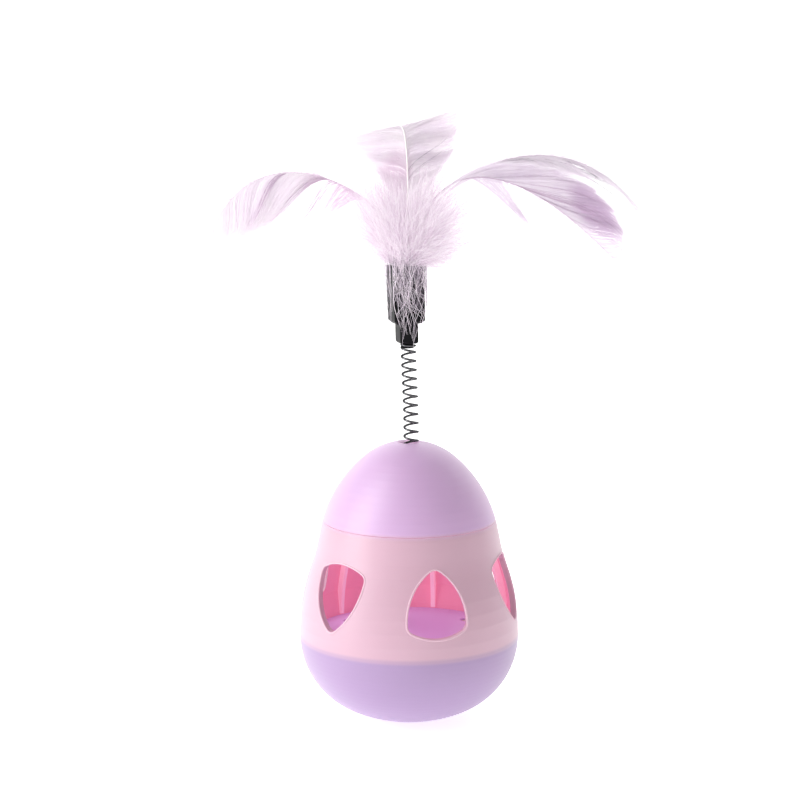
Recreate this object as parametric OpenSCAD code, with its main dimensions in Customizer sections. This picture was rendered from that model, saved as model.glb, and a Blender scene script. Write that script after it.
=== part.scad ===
// Tumbler cat toy: a weighted egg that rights itself, with a feather head on a wire spring.
// Millimetres. +Z is up, the origin is the middle of the flat foot, and -Y is the front.

/* [Egg shape] */
// Largest diameter of the egg, at the lower seam
body_d = 80; // [76:1:86]
// Radius of the round bottom that the toy rocks on
bottom_r = 55; // [50:1:60]
// How far round the side the bottom's curve reaches, in degrees
bottom_angle = 25; // [22:1:28]
// Diameter of the small flat foot
foot_d = 12; // [8:1:14]
// Radius of the side just above the lower seam
belly_r = 75; // [68:1:82]
// Lean of the wall where the side turns into the waist, in degrees
belly_angle = 18.7; // [17:0.1:20]
// Radius of the hollow waist
waist_r = 89; // [80:1:98]
// Lean of the wall where the waist turns into the dome, in degrees
waist_angle = 9.6; // [9:0.1:11]
// Radius of the dome's flank
dome_r = 46.7; // [44:0.1:50]
// Lean of the dome's flank where its nose begins, in degrees
nose_angle = 49; // [46:1:52]

/* [Shells] */
// Wall of the three moulded shells
wall = 2; // [1.8:0.1:2.2]
// Height of the pink ring, from seam to seam
ring_h = 42.6; // [41:0.2:44]
// Depth of the ring's lip inside the bowl
lip_h = 4.5; // [4:0.1:5]
// Thickness of that lip
lip_t = 1.4; // [1.2:0.1:1.6]
// Radius of the snap bead around the lip
bead_r = 0.6; // [0.5:0.05:0.7]
// Clearance of parts that are pressed or snapped together
snug = 0.12; // [0.08:0.02:0.16]
// Gap between the cover and the ring, which turn on each other
seam_gap = 0.2; // [0.15:0.05:0.3]

/* [Windows] */
// Number of windows in the ring
window_count = 6; // [6:1:6]
// Direction of the first window, counted from the front towards +X
window_azimuth = 15; // [10:1:20]
// Height of the windows' middle
window_z = 50.8; // [50:0.1:52]
// Width of a window across its wide end
window_w = 21.6; // [18:0.2:22.4]
// Height of a window
window_h = 23.4; // [20:0.2:24]
// Radius of a window's long sides
window_side_r = 22; // [20:1:26]
// Radius of a window's wide end
window_end_r = 20; // [18:1:24]
// Radius of a window's three corners
window_corner_r = 3; // [2.2:0.1:3.2]

/* [Ribs and closure] */
// Width of the upright ribs between the windows
rib_w = 1.6; // [1.2:0.1:2]
// How far the ribs stand into the egg
rib_depth = 2.4; // [2:0.1:3]
// Depth of the cover's skirt inside the ring's neck
skirt_h = 7; // [6.5:0.1:7.5]
// Thickness of the skirt
skirt_t = 1.6; // [1.4:0.1:2]
// Number of turn-lock lugs on the skirt
lug_count = 3; // [3:1:4]
// Width of a lug, in degrees of turn
lug_span = 9; // [8:1:11]
// Height of a lug
lug_h = 2; // [1.8:0.1:2.2]
// How far a lug stands out of the skirt
lug_depth = 0.9; // [0.8:0.05:1]
// Turn that opens the cover, in degrees
open_angle = 30; // [26:1:34]

/* [Weight] */
// Diameter of the steel weight
weight_d = 40; // [38:1:40]
// Thickness of the steel weight
weight_h = 11; // [9:0.5:12]
// Height of the weight's underside above the floor
weight_z = 6.5; // [6:0.1:7]
// Diameter of the post in the middle of the bowl
centre_post_d = 8; // [7:0.5:8]
// Gap between the deck over the weight and the ring's lip around it
deck_gap = 0.48; // [0.4:0.02:0.8]
// Thickness of the deck
deck_t = 2; // [1.8:0.1:2.2]
// Rise of the deck's middle over its rim
deck_rise = 2.5; // [2:0.1:3]
// Distance of the deck's screws from the middle
deck_screw_at = 25; // [24:0.5:26]
// Number of deck screws
deck_screw_count = 3; // [3:1:3]

/* [Screws] */
// Diameter of a screw's shank
screw_d = 2.6; // [2.2:0.1:2.8]
// Diameter of a screw's head
screw_head_d = 5; // [4.4:0.2:5.4]
// Height of a screw's head
screw_head_h = 1.8; // [1.6:0.1:2]
// Thread length of the screws
screw_l = 8; // [7:0.5:9]

/* [Spring] */
// Diameter of the hole in the top of the dome
nose_hole_d = 7.4; // [7:0.1:7.8]
// Outer diameter of the spring
spring_d = 5.7; // [5.4:0.1:5.9]
// Diameter of the spring's wire
wire_d = 0.72; // [0.6:0.02:0.8]
// Turns of the spring
spring_turns = 16.2; // [14.2:0.1:18.2]
// Height where the spring ends, under the feather head
spring_top = 138.4; // [134:0.2:142]
// Diameter of the tube under the nose that guides the spring
guide_d = 11; // [10:0.5:12]
// How far the bowed spring stands off to the right above the nose
bow = 0.65; // [0:0.05:0.7]
// How far the feather head is off to the left
head_off = 0.45; // [0:0.05:0.6]
// How far the blocks' middle is to the left of their post
block_off = 0.4; // [0:0.1:0.5]
// Lean of the feather head to the left, in degrees
head_lean = 1.4; // [0:0.2:2]
// Length of the spring below the nose of the dome
spring_buried = 13; // [12:0.5:14]
// Distance of the anchor's screws from the middle
anchor_screw_at = 7.6; // [7.4:0.1:7.9]
// Thickness of the anchor's flange
anchor_t = 1.8; // [1.6:0.1:2]

/* [Feather head] */
// Turn of the black block against the front, in degrees
block_turn = 15; // [10:1:20]
// Width of the upper block at its top
socket_w = 12; // [11.4:0.2:12.6]
// Depth of the upper block at its top
socket_d = 10.2; // [9.6:0.2:10.8]
// How far each side of the upper block draws in towards its lower end
socket_draft = 0.4; // [0:0.1:0.5]
// Height of the upper block
socket_h = 20.8; // [19:0.2:22]
// Wall of the upper block
socket_wall = 1.3; // [1.2:0.1:1.5]
// Width of the lower block
plug_w = 6.8; // [6.4:0.1:7.2]
// Depth of the lower block
plug_d = 8; // [7.4:0.1:8.4]
// Height of the lower block
plug_h = 7.2; // [6.6:0.2:7.8]
// Diameter of the posts that the spring's ends are pushed over
post_d = 4; // [3.8:0.05:4.05]
// Length of the lower post
post_l = 5; // [4:0.5:6]
// Length of the upper post, inside the spring's last turns
head_post_l = 1.8; // [1.4:0.2:3]
// Diameter of a feather's quill
quill_d = 1.3; // [1.1:0.1:1.5]
// Thickness of a feather's vane
vane_t = 0.6; // [0.5:0.05:0.8]

/* [Hidden] */
$fn = 96;

lilac = "#c9a3cb";
pink = "#e3b4c8";
steel = "#8d9094";
black = "#17161a";
plume = "#ead9ec";

// The egg's outline is a chain of arcs that run into each other without a corner.
// Each arc has its centre [radius, height], its radius, 1 for a crown or -1 for a hollow,
// and the directions of the wall's normal where it starts and ends.
body_r = body_d / 2;
foot_sink = bottom_r - sqrt(pow(bottom_r, 2) - pow(foot_d / 2, 2));
side_r = (body_r - bottom_r * sin(bottom_angle)) / (1 - sin(bottom_angle));
lower_seam = bottom_r * (1 - cos(bottom_angle)) + side_r * cos(bottom_angle) - foot_sink;
upper_seam = lower_seam + ring_h;
belly_centre = [body_r - belly_r, lower_seam];
waist_centre = belly_centre + (belly_r + waist_r) * [cos(belly_angle), sin(belly_angle)];
dome_centre = waist_centre - (waist_r + dome_r) * [cos(waist_angle), sin(waist_angle)];
nose_start = dome_centre + dome_r * [cos(nose_angle), sin(nose_angle)];
nose_r = nose_start[0] / cos(nose_angle);
nose_z = nose_start[1] - nose_r * sin(nose_angle);
top_z = nose_z + nose_r;
arcs = [
    [[0, bottom_r - foot_sink], bottom_r, 1, -90 + asin(foot_d / 2 / bottom_r), -90 + bottom_angle],
    [[body_r - side_r, lower_seam], side_r, 1, -90 + bottom_angle, 0],
    [belly_centre, belly_r, 1, 0, belly_angle],
    [waist_centre, waist_r, -1, belly_angle, waist_angle],
    [dome_centre, dome_r, 1, waist_angle, nose_angle],
    [[0, nose_z], nose_r, 1, nose_angle, 90]
];
// Degrees that one straight step of the turned outline stands for
arc_step = 4;
function arc_point(a, angle, inset) = a[0] + (a[2] * a[1] - inset) * [cos(angle), sin(angle)];

// Points of the outline from the lowest to the highest, moved in by inset
function arc_steps(a) = ceil(abs(a[4] - a[3]) / arc_step);
function outline(inset) = concat(
    [arc_point(arcs[0], arcs[0][3], inset)],
    [for (a = arcs) for (i = [1:arc_steps(a)]) arc_point(a, a[3] + (a[4] - a[3]) * i / arc_steps(a), inset)]
);
// Radius of the outline at a height
function egg_radius(z, inset) = lookup(z, [for (p = outline(inset)) [p[1], p[0]]]);

// Fit of the ring in the bowl
bowl_bore_r = body_r - wall;
lip_r = bowl_bore_r - snug;
bead_z = lower_seam - lip_h / 2;
bead_at = lip_r - bead_r * 0.4;

// Fit of the cover in the ring
neck_r = egg_radius(upper_seam, wall) - 0.1;
skirt_r = neck_r - seam_gap;
neck_h = skirt_h + 2;
lug_z = upper_seam - skirt_h * 0.6;
lug_azimuth = 20;
lug_play = 1;
groove_r = skirt_r + lug_depth + seam_gap;

// Deck and weight
deck_top = lower_seam;
deck_underside = deck_top - deck_t;
deck_r = lip_r - lip_t - deck_gap;
deck_seat_z = deck_top - 0.5;
deck_dome_r = (pow(deck_r, 2) + pow(deck_rise, 2)) / (2 * deck_rise);
weight_top = weight_z + weight_h;
washer_t = 1;
post_gap = 0.5;
pilot_d = screw_d + 0.1;
deck_post_d = 6.4;

// Spring, from the anchor under the nose to the plug of the feather head
coil_r = (spring_d - wire_d) / 2;
spring_foot = top_z - spring_buried;
seat_gap = 0.05;
guide_bore_d = spring_d + 1.5;
spring_start = 211;
straight_z = spring_foot + post_l;
bow_z = top_z + 2;
ring_steps = 14;
wire_sides = 6;
boss_d = 5.6;

// Feather head
socket_z = spring_top + plug_h;
socket_top = socket_z + socket_h;
pocket_w = socket_w - 2 * (socket_wall + socket_draft);
pocket_d = socket_d - 2 * (socket_wall + socket_draft);
tongue_h = 7;
tongue_w = plug_w - 1.4;
tongue_d = plug_d - 1.6;
glue_z = socket_z + tongue_h + 0.6;
glue_top = socket_top - 0.3;
quill_z = glue_z + 1;

// Places where the quills leave the glue
left_quill = [-1.7, -0.5];
right_quill = [2, -0.7];
right_rear_quill = [2.1, 1];
back_quill = [-0.9, 1.7];

// Solid inside the egg's outline between two heights, moved in by inset
module egg(low, high, inset = 0) {
    points = outline(inset);
    inner = [for (p = points) if (p[1] > low + 0.05 && p[1] < high - 0.05) p];
    rotate_extrude()
        polygon(concat(
            low > points[0][1] ? [[0, low], [egg_radius(low, inset), low]]
                : [[0, points[0][1]], points[0]],
            inner,
            high < points[len(points) - 1][1] ? [[egg_radius(high, inset), high], [0, high]] : []
        ));
}

// Copies around the axis, with azimuths counted from the front towards +X
module around(count, azimuth = 0) {
    for (k = [0:count - 1])
        rotate([0, 0, azimuth + k * 360 / count])
            children();
}

// Rounded triangle with bulging sides, point up, with its middle at the origin.
// The side circles touch the top corner's circle and the lower corner's circle inside.
module window_outline() {
    rc = window_corner_r;
    top = [0, window_h / 2 - rc];
    end_centre = [0, -window_h / 2 + window_end_r];
    low_x = window_w / 2 - rc;
    low = [low_x, end_centre[1] - sqrt(pow(window_end_r - rc, 2) - pow(low_x, 2))];
    half = norm(top - low) / 2;
    along = (low - top) / (2 * half);
    side_centre = (top + low) / 2
        - sqrt(pow(window_side_r - rc, 2) - pow(half, 2)) * [-along[1], along[0]];
    top_touch = side_centre + (top - side_centre) * window_side_r / (window_side_r - rc);
    low_touch = side_centre + (low - side_centre) * window_side_r / (window_side_r - rc);
    end_touch = end_centre + (low - end_centre) * window_end_r / (window_end_r - rc);
    bulge = (top_touch + low_touch) / 2 + [window_side_r * 0.3, window_side_r * 0.13];
    intersection() {
        translate(side_centre)
            circle(window_side_r);
        mirror([1, 0])
            translate(side_centre)
                circle(window_side_r);
        translate(end_centre)
            circle(window_end_r);
        polygon([
            top_touch, bulge, low_touch, end_touch, [0, -window_h],
            [-end_touch[0], end_touch[1]], [-low_touch[0], low_touch[1]],
            [-bulge[0], bulge[1]], [-top_touch[0], top_touch[1]]
        ]);
    }
    translate(top)
        circle(rc);
    for (side = [-1, 1])
        translate([side * low[0], low[1]])
            circle(rc);
}

// Screw with a pan head: its seat is at z = 0 and its shank points down
module pan_screw(length) {
    rotate_extrude() {
        difference() {
            intersection() {
                translate([0, screw_head_h - screw_head_d])
                    circle(screw_head_d);
                square([screw_head_d / 2, screw_head_h]);
            }
            square([0.45, screw_head_h * 3], center = true);
        }
    }
    difference() {
        translate([0, 0, -length])
            cylinder(d = screw_d, h = length + screw_head_h * 0.4);
        translate([0, 0, -length])
            rotate_extrude()
                polygon([[screw_d / 2, 0], [screw_d, 0], [screw_d, 1.2], [screw_d / 2, 1.2], [0.5, 0]]);
    }
}

// Region under the deck's dome, between its rim and a given depth below its top face
module deck_area() {
    intersection() {
        difference() {
            translate([0, deck_top + deck_rise - deck_dome_r])
                circle(deck_dome_r, $fn = 720);
            translate([0, deck_top + deck_rise - deck_dome_r])
                circle(deck_dome_r - deck_t, $fn = 720);
        }
        translate([0, deck_underside])
            square([deck_r, deck_rise + deck_t]);
    }
}

// Bowl: the rounded bottom shell, with ribs that carry the weight and posts for the screws
module base_bowl() {
    pilot_depth = screw_l + 0.5;
    color(lilac)
        difference() {
            union() {
                difference() {
                    egg(0, lower_seam);
                    egg(0, lower_seam + 1, wall);
                    translate([0, 0, lower_seam - lip_h - snug])
                        cylinder(r = bowl_bore_r, h = lip_h + wall);
                    rotate_extrude()
                        translate([bead_at, bead_z])
                            circle(bead_r + snug);
                }
                intersection() {
                    union() {
                        cylinder(d = centre_post_d, h = weight_top - post_gap);
                        around(deck_screw_count)
                            translate([0, -deck_screw_at, 0])
                                cylinder(d = deck_post_d, h = deck_underside - seat_gap);
                        around(6, 30)
                            translate([-rib_w / 2, -weight_d / 2 + 1, 0])
                                cube([rib_w, weight_d / 2 - 1, weight_z]);
                    }
                    translate([0, 0, bottom_r - foot_sink])
                        sphere(bottom_r - wall / 2);
                }
            }
            translate([0, 0, weight_top + washer_t - pilot_depth])
                cylinder(d = pilot_d, h = pilot_depth);
            around(deck_screw_count)
                translate([0, -deck_screw_at, deck_seat_z - pilot_depth])
                    cylinder(d = pilot_d, h = pilot_depth);
        }
}

// Steel disc that keeps the toy upright
module ballast_weight() {
    r = weight_d / 2;
    edge = 1.5;
    color(steel)
        rotate_extrude()
            translate([0, weight_z + seat_gap])
                polygon([
                    [centre_post_d / 2 + post_gap, 0], [r - edge, 0], [r, edge],
                    [r, weight_h - edge / 2], [r - edge / 2, weight_h],
                    [centre_post_d / 2 + post_gap, weight_h]
                ]);
}

module ballast_washer() {
    color("silver")
        translate([0, 0, weight_top + seat_gap * 2])
            difference() {
                cylinder(d = centre_post_d * 2, h = washer_t);
                translate([0, 0, -1])
                    cylinder(d = screw_d + 0.6, h = washer_t + 2);
            }
}

module ballast_screw() {
    color("silver")
        translate([0, 0, weight_top + washer_t + seat_gap * 3])
            pan_screw(screw_l);
}

// Shallow domed plate over the weight: the floor of the room behind the windows
module deck() {
    boss_r = deck_post_d / 2 + 0.4;
    color(lilac)
        difference() {
            union() {
                rotate_extrude()
                    deck_area();
                around(deck_screw_count)
                    translate([0, -deck_screw_at, deck_underside])
                        cylinder(r = boss_r, h = deck_t);
            }
            around(deck_screw_count)
                translate([0, -deck_screw_at, 0]) {
                    translate([0, 0, deck_underside - 1])
                        cylinder(d = screw_d + 0.6, h = deck_t + deck_rise + 2);
                    translate([0, 0, deck_seat_z])
                        cylinder(d = screw_head_d + 0.8, h = deck_rise + 2);
                }
        }
}

module deck_screws() {
    color("silver")
        around(deck_screw_count)
            translate([0, -deck_screw_at, deck_seat_z + seat_gap])
                pan_screw(screw_l);
}

// Part of a turned ring that spans some degrees, centred on the front
module ring_sector(inner, outer, low, high, span) {
    rotate([0, 0, -90 - span / 2])
        rotate_extrude(angle = span)
            translate([inner, low])
                square([outer - inner, high - low]);
}

// Section of the neck inside the wall, where the turn lock is
module neck_area() {
    low = upper_seam - neck_h;
    slope = 2.4;
    polygon([
        [neck_r, upper_seam + 2], [neck_r, low], [neck_r + slope, low - slope],
        [body_d, low - slope], [body_d, upper_seam + 2]
    ]);
}

// Section of the thickened foot of the wall, which ends in the lip
module lip_foot_area() {
    lip_in = lip_r - lip_t;
    top = lower_seam + 9;
    polygon([
        [lip_in, lower_seam - 2], [lip_in, lower_seam + 1.5], [egg_radius(top, wall), top],
        [body_d, top], [body_d, lower_seam - 2]
    ]);
}

// Ring: the middle shell, with its windows, the ribs between them and the turn lock
module middle_ring() {
    lock_low = lug_z - lug_h / 2 - seam_gap;
    lock_high = lug_z + lug_h / 2 + seam_gap;
    slot_span = lug_span + 2 * lug_play;
    color(pink)
        difference() {
            union() {
                difference() {
                    egg(lower_seam, upper_seam);
                    difference() {
                        egg(lower_seam - 1, upper_seam + 1, wall);
                        rotate_extrude()
                            neck_area();
                        rotate_extrude()
                            lip_foot_area();
                    }
                }
                translate([0, 0, lower_seam - lip_h])
                    difference() {
                        cylinder(r = lip_r, h = lip_h + 1);
                        translate([0, 0, -1])
                            cylinder(r = lip_r - lip_t, h = lip_h + 3);
                    }
                rotate_extrude()
                    translate([bead_at, bead_z])
                        circle(bead_r);
                intersection() {
                    around(window_count / 2, window_azimuth + 180 / window_count)
                        translate([-rib_w / 2, -body_r, lower_seam])
                            cube([rib_w, body_d, ring_h]);
                    difference() {
                        egg(deck_top + 0.4, upper_seam - neck_h + 0.5, wall / 2);
                        egg(deck_top, upper_seam, wall + rib_depth);
                    }
                }
            }
            around(window_count / 2, window_azimuth)
                window_cut(0);
            around(window_count / 2, window_azimuth + 360 / window_count)
                window_cut(1);
            around(lug_count, lug_azimuth + open_angle / 2)
                ring_sector(neck_r - 1, groove_r, lock_low, lock_high, slot_span + open_angle + 1);
            around(lug_count, lug_azimuth + open_angle)
                ring_sector(neck_r - 1, groove_r, lock_low, upper_seam + 1, slot_span);
        }
}

// Radial cut through the wall at the front, point down where flip is 1
module window_cut(flip) {
    translate([0, -body_r / 2, window_z])
        rotate([90, 0, 0])
            linear_extrude(body_r)
                mirror([0, flip])
                    window_outline();
}

// Cover: the dome, with the skirt that locks in the ring and the tube for the spring
module top_cover() {
    skirt_in = skirt_r - skirt_t;
    low = upper_seam + seam_gap;
    collar_h = 2.5;
    bevel = 0.5;
    color(lilac)
        difference() {
            union() {
                difference() {
                    egg(low, top_z + 1);
                    difference() {
                        egg(low - 1, top_z, wall);
                        rotate_extrude()
                            polygon([
                                [skirt_in, low - 2], [skirt_in, low + collar_h],
                                [skirt_in + wall, low + collar_h + wall],
                                [body_d, low + collar_h + wall], [body_d, low - 2]
                            ]);
                        translate([0, 0, spring_foot])
                            cylinder(d = guide_d, h = spring_buried);
                    }
                }
                translate([0, 0, upper_seam - skirt_h])
                    difference() {
                        cylinder(r = skirt_r, h = skirt_h + 1);
                        translate([0, 0, -1])
                            cylinder(r = skirt_in, h = skirt_h + 3);
                    }
                around(lug_count, lug_azimuth)
                    ring_sector(skirt_r - 0.5, skirt_r + lug_depth, lug_z - lug_h / 2, lug_z + lug_h / 2, lug_span);
                intersection() {
                    around(2, 90)
                        translate([0, -anchor_screw_at, spring_foot])
                            cylinder(d = boss_d, h = spring_buried);
                    egg(low, top_z, wall / 2);
                }
            }
            translate([0, 0, spring_foot - 1])
                cylinder(d = guide_bore_d, h = spring_buried + 2);
            rotate_extrude()
                polygon([
                    [0, top_z - wall], [nose_hole_d / 2, top_z - wall], [nose_hole_d / 2, top_z - 2 * bevel],
                    [nose_hole_d / 2 + 2 * bevel, top_z], [nose_hole_d / 2 + 2 * bevel, top_z + 1], [0, top_z + 1]
                ]);
            around(2, 90)
                translate([0, -anchor_screw_at, spring_foot - 1])
                    cylinder(d = pilot_d, h = screw_l - anchor_t + 2);
        }
}

// Flanged plug that closes the tube under the nose and holds the spring's lower end
module spring_anchor() {
    low = spring_foot - seat_gap - anchor_t;
    bevel = 0.5;
    color(lilac) {
        difference() {
            translate([0, 0, low])
                linear_extrude(anchor_t) {
                    circle(d = guide_d);
                    square([2 * anchor_screw_at, boss_d], center = true);
                    for (side = [-1, 1])
                        translate([side * anchor_screw_at, 0])
                            circle(d = boss_d);
                }
            around(2, 90)
                translate([0, -anchor_screw_at, low - 1])
                    cylinder(d = screw_d + 0.4, h = anchor_t + 2);
        }
        rotate_extrude()
            translate([0, low])
                polygon([
                    [0, 0], [post_d / 2, 0], [post_d / 2, anchor_t + post_l - bevel],
                    [post_d / 2 - bevel, anchor_t + post_l], [0, anchor_t + post_l]
                ]);
    }
}

module anchor_screws() {
    color("silver")
        around(2, 90)
            translate([0, -anchor_screw_at, spring_foot - seat_gap * 2 - anchor_t])
                rotate([180, 0, 0])
                    pan_screw(screw_l);
}

// Faces of a tube of rings with equal numbers of points, closed at both ends
function tube_faces(rings, sides) = concat(
    [[for (k = [0:sides - 1]) k]],
    [for (i = [0:rings - 2], k = [0:sides - 1])
        let (next = (k + 1) % sides)
        for (face = [[i * sides + k, (i + 1) * sides + k, (i + 1) * sides + next],
            [i * sides + k, (i + 1) * sides + next, i * sides + next]]) face],
    [[for (k = [sides - 1:-1:0]) (rings - 1) * sides + k]]
);

// Height of the wire's middle after some turns: one closed turn at each end, even pitch between
function coil_height(turn, total, height, closed) =
    turn < 1 ? turn * closed
    : turn > total - 1 ? height - (total - turn) * closed
    : closed + (turn - 1) * (height - 2 * closed) / (total - 2);

// Sideways place of the bowed spring's middle line at a height
function spring_x(z) =
    let (u = max(0, z - bow_z) / (spring_top - bow_z))
    let (lean = tan(head_lean) * (spring_top - bow_z) / 2)
    bow * smooth(z, straight_z, bow_z) - (bow + head_off - lean) * smooth(u, 0, 1) - lean * u * u;

// Left-handed coil spring
module spring() {
    low = spring_foot + wire_d / 2 + seat_gap;
    height = spring_top - wire_d / 2 - seat_gap - low;
    steps = round(spring_turns * ring_steps);
    points = [
        for (i = [0:steps], k = [0:wire_sides - 1])
            let (turn = i / ring_steps)
            let (angle = spring_start - 360 * turn)
            let (round_wire = 360 * k / wire_sides)
            let (out = coil_r + wire_d / 2 * cos(round_wire))
            let (z = low + coil_height(turn, spring_turns, height, wire_d * 1.1) + wire_d / 2 * sin(round_wire))
            [spring_x(z) + out * cos(angle), out * sin(angle), z]
    ];
    color("silver")
        polyhedron(points, tube_faces(steps + 1, wire_sides), convexity = 20);
}

// Block with rounded corners that draws in towards its lower end, with a bevel around that end
module rounded_block(w, d, h, corner, bevel, draft = 0) {
    intersection() {
        linear_extrude(h)
            rounded_rectangle(w, d, corner);
        translate([0, d, 0])
            rotate([90, 0, 0])
                linear_extrude(2 * d)
                    block_side(w / 2, h, bevel, draft);
        translate([-w, 0, 0])
            rotate([90, 0, 90])
                linear_extrude(2 * w)
                    block_side(d / 2, h, bevel, draft);
    }
}

module block_side(half, h, bevel, draft) {
    foot = half - draft;
    polygon([
        [-half, h], [-foot, bevel], [bevel - foot, 0],
        [foot - bevel, 0], [foot, bevel], [half, h]
    ]);
}

module rounded_rectangle(w, d, corner) {
    square([w - 2 * corner, d], center = true);
    square([w, d - 2 * corner], center = true);
    for (x = [-1, 1], y = [-1, 1])
        translate([x * (w / 2 - corner), y * (d / 2 - corner)])
            circle(corner);
}

// Lower block: its post holds the spring's upper end and its tongue goes into the socket
module spring_plug() {
    color(black)
        head() {
            rotate([0, 0, block_turn]) {
                translate([0, 0, spring_top])
                    rounded_block(plug_w, plug_d, plug_h - seat_gap, 0.9, 0.7);
                translate([-tongue_w / 2, -tongue_d / 2, spring_top + plug_h / 2])
                    cube([tongue_w, tongue_d, plug_h / 2 + tongue_h]);
            }
            translate([block_off, 0, spring_top - head_post_l])
                cylinder(d = post_d, h = head_post_l + 1);
        }
}

// Puts what is drawn upright on the axis where the bowed spring holds it
module head() {
    translate([-head_off, 0, spring_top])
        rotate([0, -head_lean, 0])
            translate([-block_off, 0, -spring_top])
                children();
}
function head_point(p) =
    let (high = p[2] - spring_top)
    let (out = p[0] - block_off)
    [
        out * cos(head_lean) - high * sin(head_lean) - head_off, p[1],
        spring_top + out * sin(head_lean) + high * cos(head_lean)
    ];

// Upper block: a sleeve that holds the glued quills
module feather_socket() {
    color(black)
        head() rotate([0, 0, block_turn])
            difference() {
                translate([0, 0, socket_z])
                    rounded_block(socket_w, socket_d, socket_h, 1.2, 1.1, socket_draft);
                translate([-pocket_w / 2, -pocket_d / 2, socket_z + socket_wall])
                    cube([pocket_w, pocket_d, socket_h]);
                translate([-tongue_w / 2 - snug, -tongue_d / 2 - snug, socket_z - 1])
                    cube([tongue_w + 2 * snug, tongue_d + 2 * snug, socket_h]);
            }
}

// Hot-melt plug in the sleeve, with the holes that the quills are set in
module quill_glue() {
    color("#d8d2c4")
        head() difference() {
            rotate([0, 0, block_turn])
                translate([seat_gap - pocket_w / 2, seat_gap - pocket_d / 2, glue_z])
                    cube([pocket_w - 2 * seat_gap, pocket_d - 2 * seat_gap, glue_top - glue_z]);
            for (q = [left_quill, right_quill, right_rear_quill, back_quill])
                translate([q[0], q[1], quill_z - seat_gap])
                    cylinder(d = quill_d + 2 * seat_gap, h = socket_h);
        }
}

function unit(v) = v / norm(v);
function mix(a, b, t) = a + (b - a) * t;
function smooth(t, low, high) =
    let (s = min(1, max(0, (t - low) / (high - low))))
    s * s * (3 - 2 * s);
function bezier(p, t) =
    pow(1 - t, 3) * p[0] + 3 * t * pow(1 - t, 2) * p[1] + 3 * t * t * (1 - t) * p[2] + pow(t, 3) * p[3];
function bezier_way(p, t) = unit(
    pow(1 - t, 2) * (p[1] - p[0]) + 2 * t * (1 - t) * (p[2] - p[1]) + t * t * (p[3] - p[2])
);

// Width of a vane along the shaft: bare quill, then full, then a round tip, with splits between its locks
function vane_width(t, full, start, locks, split) =
    full * smooth(t, start, start + 0.16) * sqrt(max(0, 1 - pow(smooth(t, 0.62, 1.02), 2)))
    * (1 - split * pow(abs(cos(180 * locks * t)), 6));

// One cross-section of a feather: two drooping halves of the vane and the shaft between them
function feather_ring(c, way, across, left_w, right_w, droop, sweep, r) =
    let (up = unit(cross(way, across)))
    let (left = unit(cos(droop[0]) * across - sin(droop[0]) * up + sweep * way))
    let (right = unit(-cos(droop[1]) * across - sin(droop[1]) * up + sweep * way))
    let (half = min(vane_t, r) / 2)
    [
        c + (0.86 * r + left_w) * left + up * half,
        c + up * r,
        c + (0.86 * r + right_w) * right + up * half,
        c + (0.86 * r + right_w) * right - up * half,
        c - up * r,
        c + (0.86 * r + left_w) * left - up * half
    ];

// Feather that rises from its quill's place and bends along a curve.
// way_points are the curve's two guides and its tip, across points to the first half of the vane.
module feather(quill, way_points, across, widths, droop, sweep, start, locks, split, steps = 30) {
    root = head_point([quill[0], quill[1], socket_top]);
    foot = head_point([quill[0], quill[1], quill_z]);
    curve = concat([root], way_points);
    first = across - (across * bezier_way(curve, 0)) * bezier_way(curve, 0);
    rings = [
        for (i = [-1:steps])
            let (t = max(0, i / steps))
            let (c = i < 0 ? foot : bezier(curve, t))
            let (way = i < 0 ? unit(root - foot) : bezier_way(curve, t))
            let (side = i < 0 ? unit(first - (first * way) * way) : unit(across - (across * way) * way))
            let (begun = smooth(t, start / 2, start + 0.1))
            feather_ring(
                c, way, side,
                vane_width(t, widths[0], start, locks, split),
                vane_width(t, widths[1], start, locks + 1, split),
                droop * begun, sweep * begun,
                mix(quill_d / 2, 0.3, t)
            )
    ];
    points = [for (ring = rings) for (p = ring) p];
    color(plume)
        polyhedron(points, tube_faces(len(rings), 6), convexity = 10);
}

module feather_left() {
    feather(
        left_quill, [[-4, 0, 196], [-56, -2, 217], [-70, -3, 178]],
        [0.2, -0.2, -1], [29, 3], [4, 20], 0.7, 0.19, 5, 0.6
    );
}

module feather_right() {
    feather(
        right_quill, [[6, -1, 212], [40, -3, 203], [72, -4, 169]],
        [1, -0.3, 0.6], [13, 4], [-4, 10], 1, 0.37, 4, 0.35
    );
}

module feather_right_rear() {
    feather(
        right_rear_quill, [[4, 2.4, 204], [60, 14, 221], [82, 16, 185]],
        [0, 0.5, -0.85], [15, 6], [8, 20], 0.85, 0.33, 6, 0.6
    );
}

module feather_back() {
    feather(
        back_quill, [[2, 4, 204], [-3, 12, 234], [-6, 54, 200]],
        [-1, 0, -0.3], [25.5, 28], [24, 14], 0.7, 0.14, 4, 0.3
    );
}

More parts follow.
